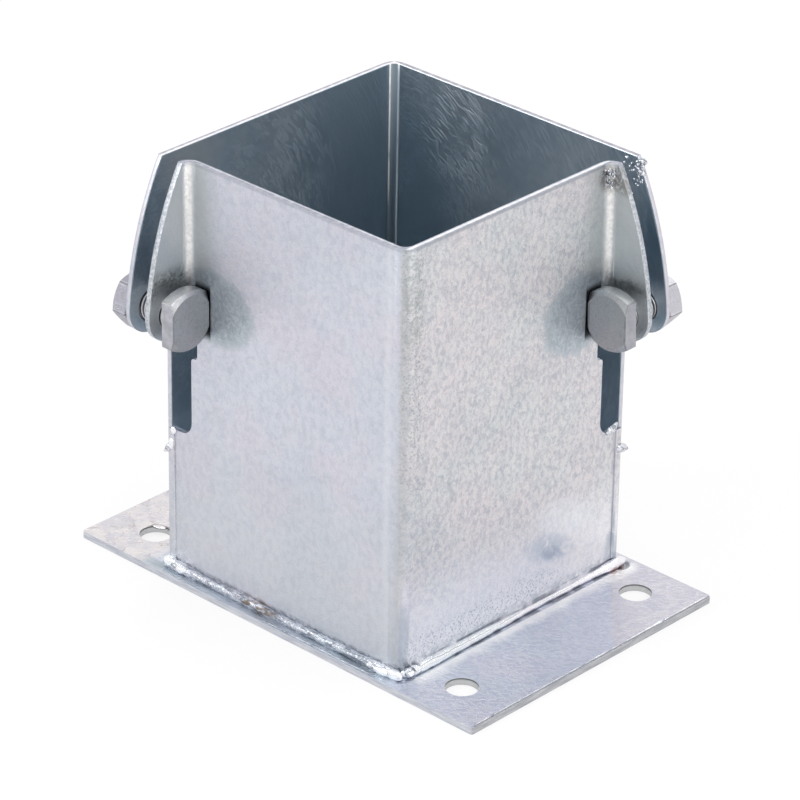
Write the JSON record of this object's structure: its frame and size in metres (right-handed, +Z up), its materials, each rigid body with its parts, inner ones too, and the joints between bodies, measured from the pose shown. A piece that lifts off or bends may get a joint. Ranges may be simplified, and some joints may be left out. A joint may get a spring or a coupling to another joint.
{
  "type": "timber post base",
  "caption": "Bolt-down galvanised base that clamps a square timber post between two folded sheet angles welded to an oblong plate.",
  "frame": {"origin": "middle of the plate's underside, on the axis of the post", "axes": "+Z up along the post, +X along the plate's long side, +Y along its short side; the clamp ears stand at the -X -Y and +X +Y corners"},
  "size_m": [0.178, 0.1331, 0.1525],
  "materials": {
    "plate": "hot-dip galvanised, dull",
    "sheet": "hot-dip galvanised, fine spangle",
    "weld": "hot-dip galvanised over weld bead",
    "bolts": "hot-dip galvanised, matt",
    "nuts": "hot-dip galvanised, matt"
  },
  "bodies": {
    "root": {"base_plate": "plate", "front_angle": "sheet", "back_angle": "sheet", "wall_weld_front_left": "weld", "wall_weld_front_right": "weld", "wall_weld_back_right": "weld", "wall_weld_back_left": "weld", "seam_weld_left": "weld", "seam_weld_right": "weld", "clamp_bolt_left": "bolts", "clamp_bolt_right": "bolts", "clamp_nut_left": "nuts", "clamp_nut_right": "nuts"}
  },
  "joints": []
}
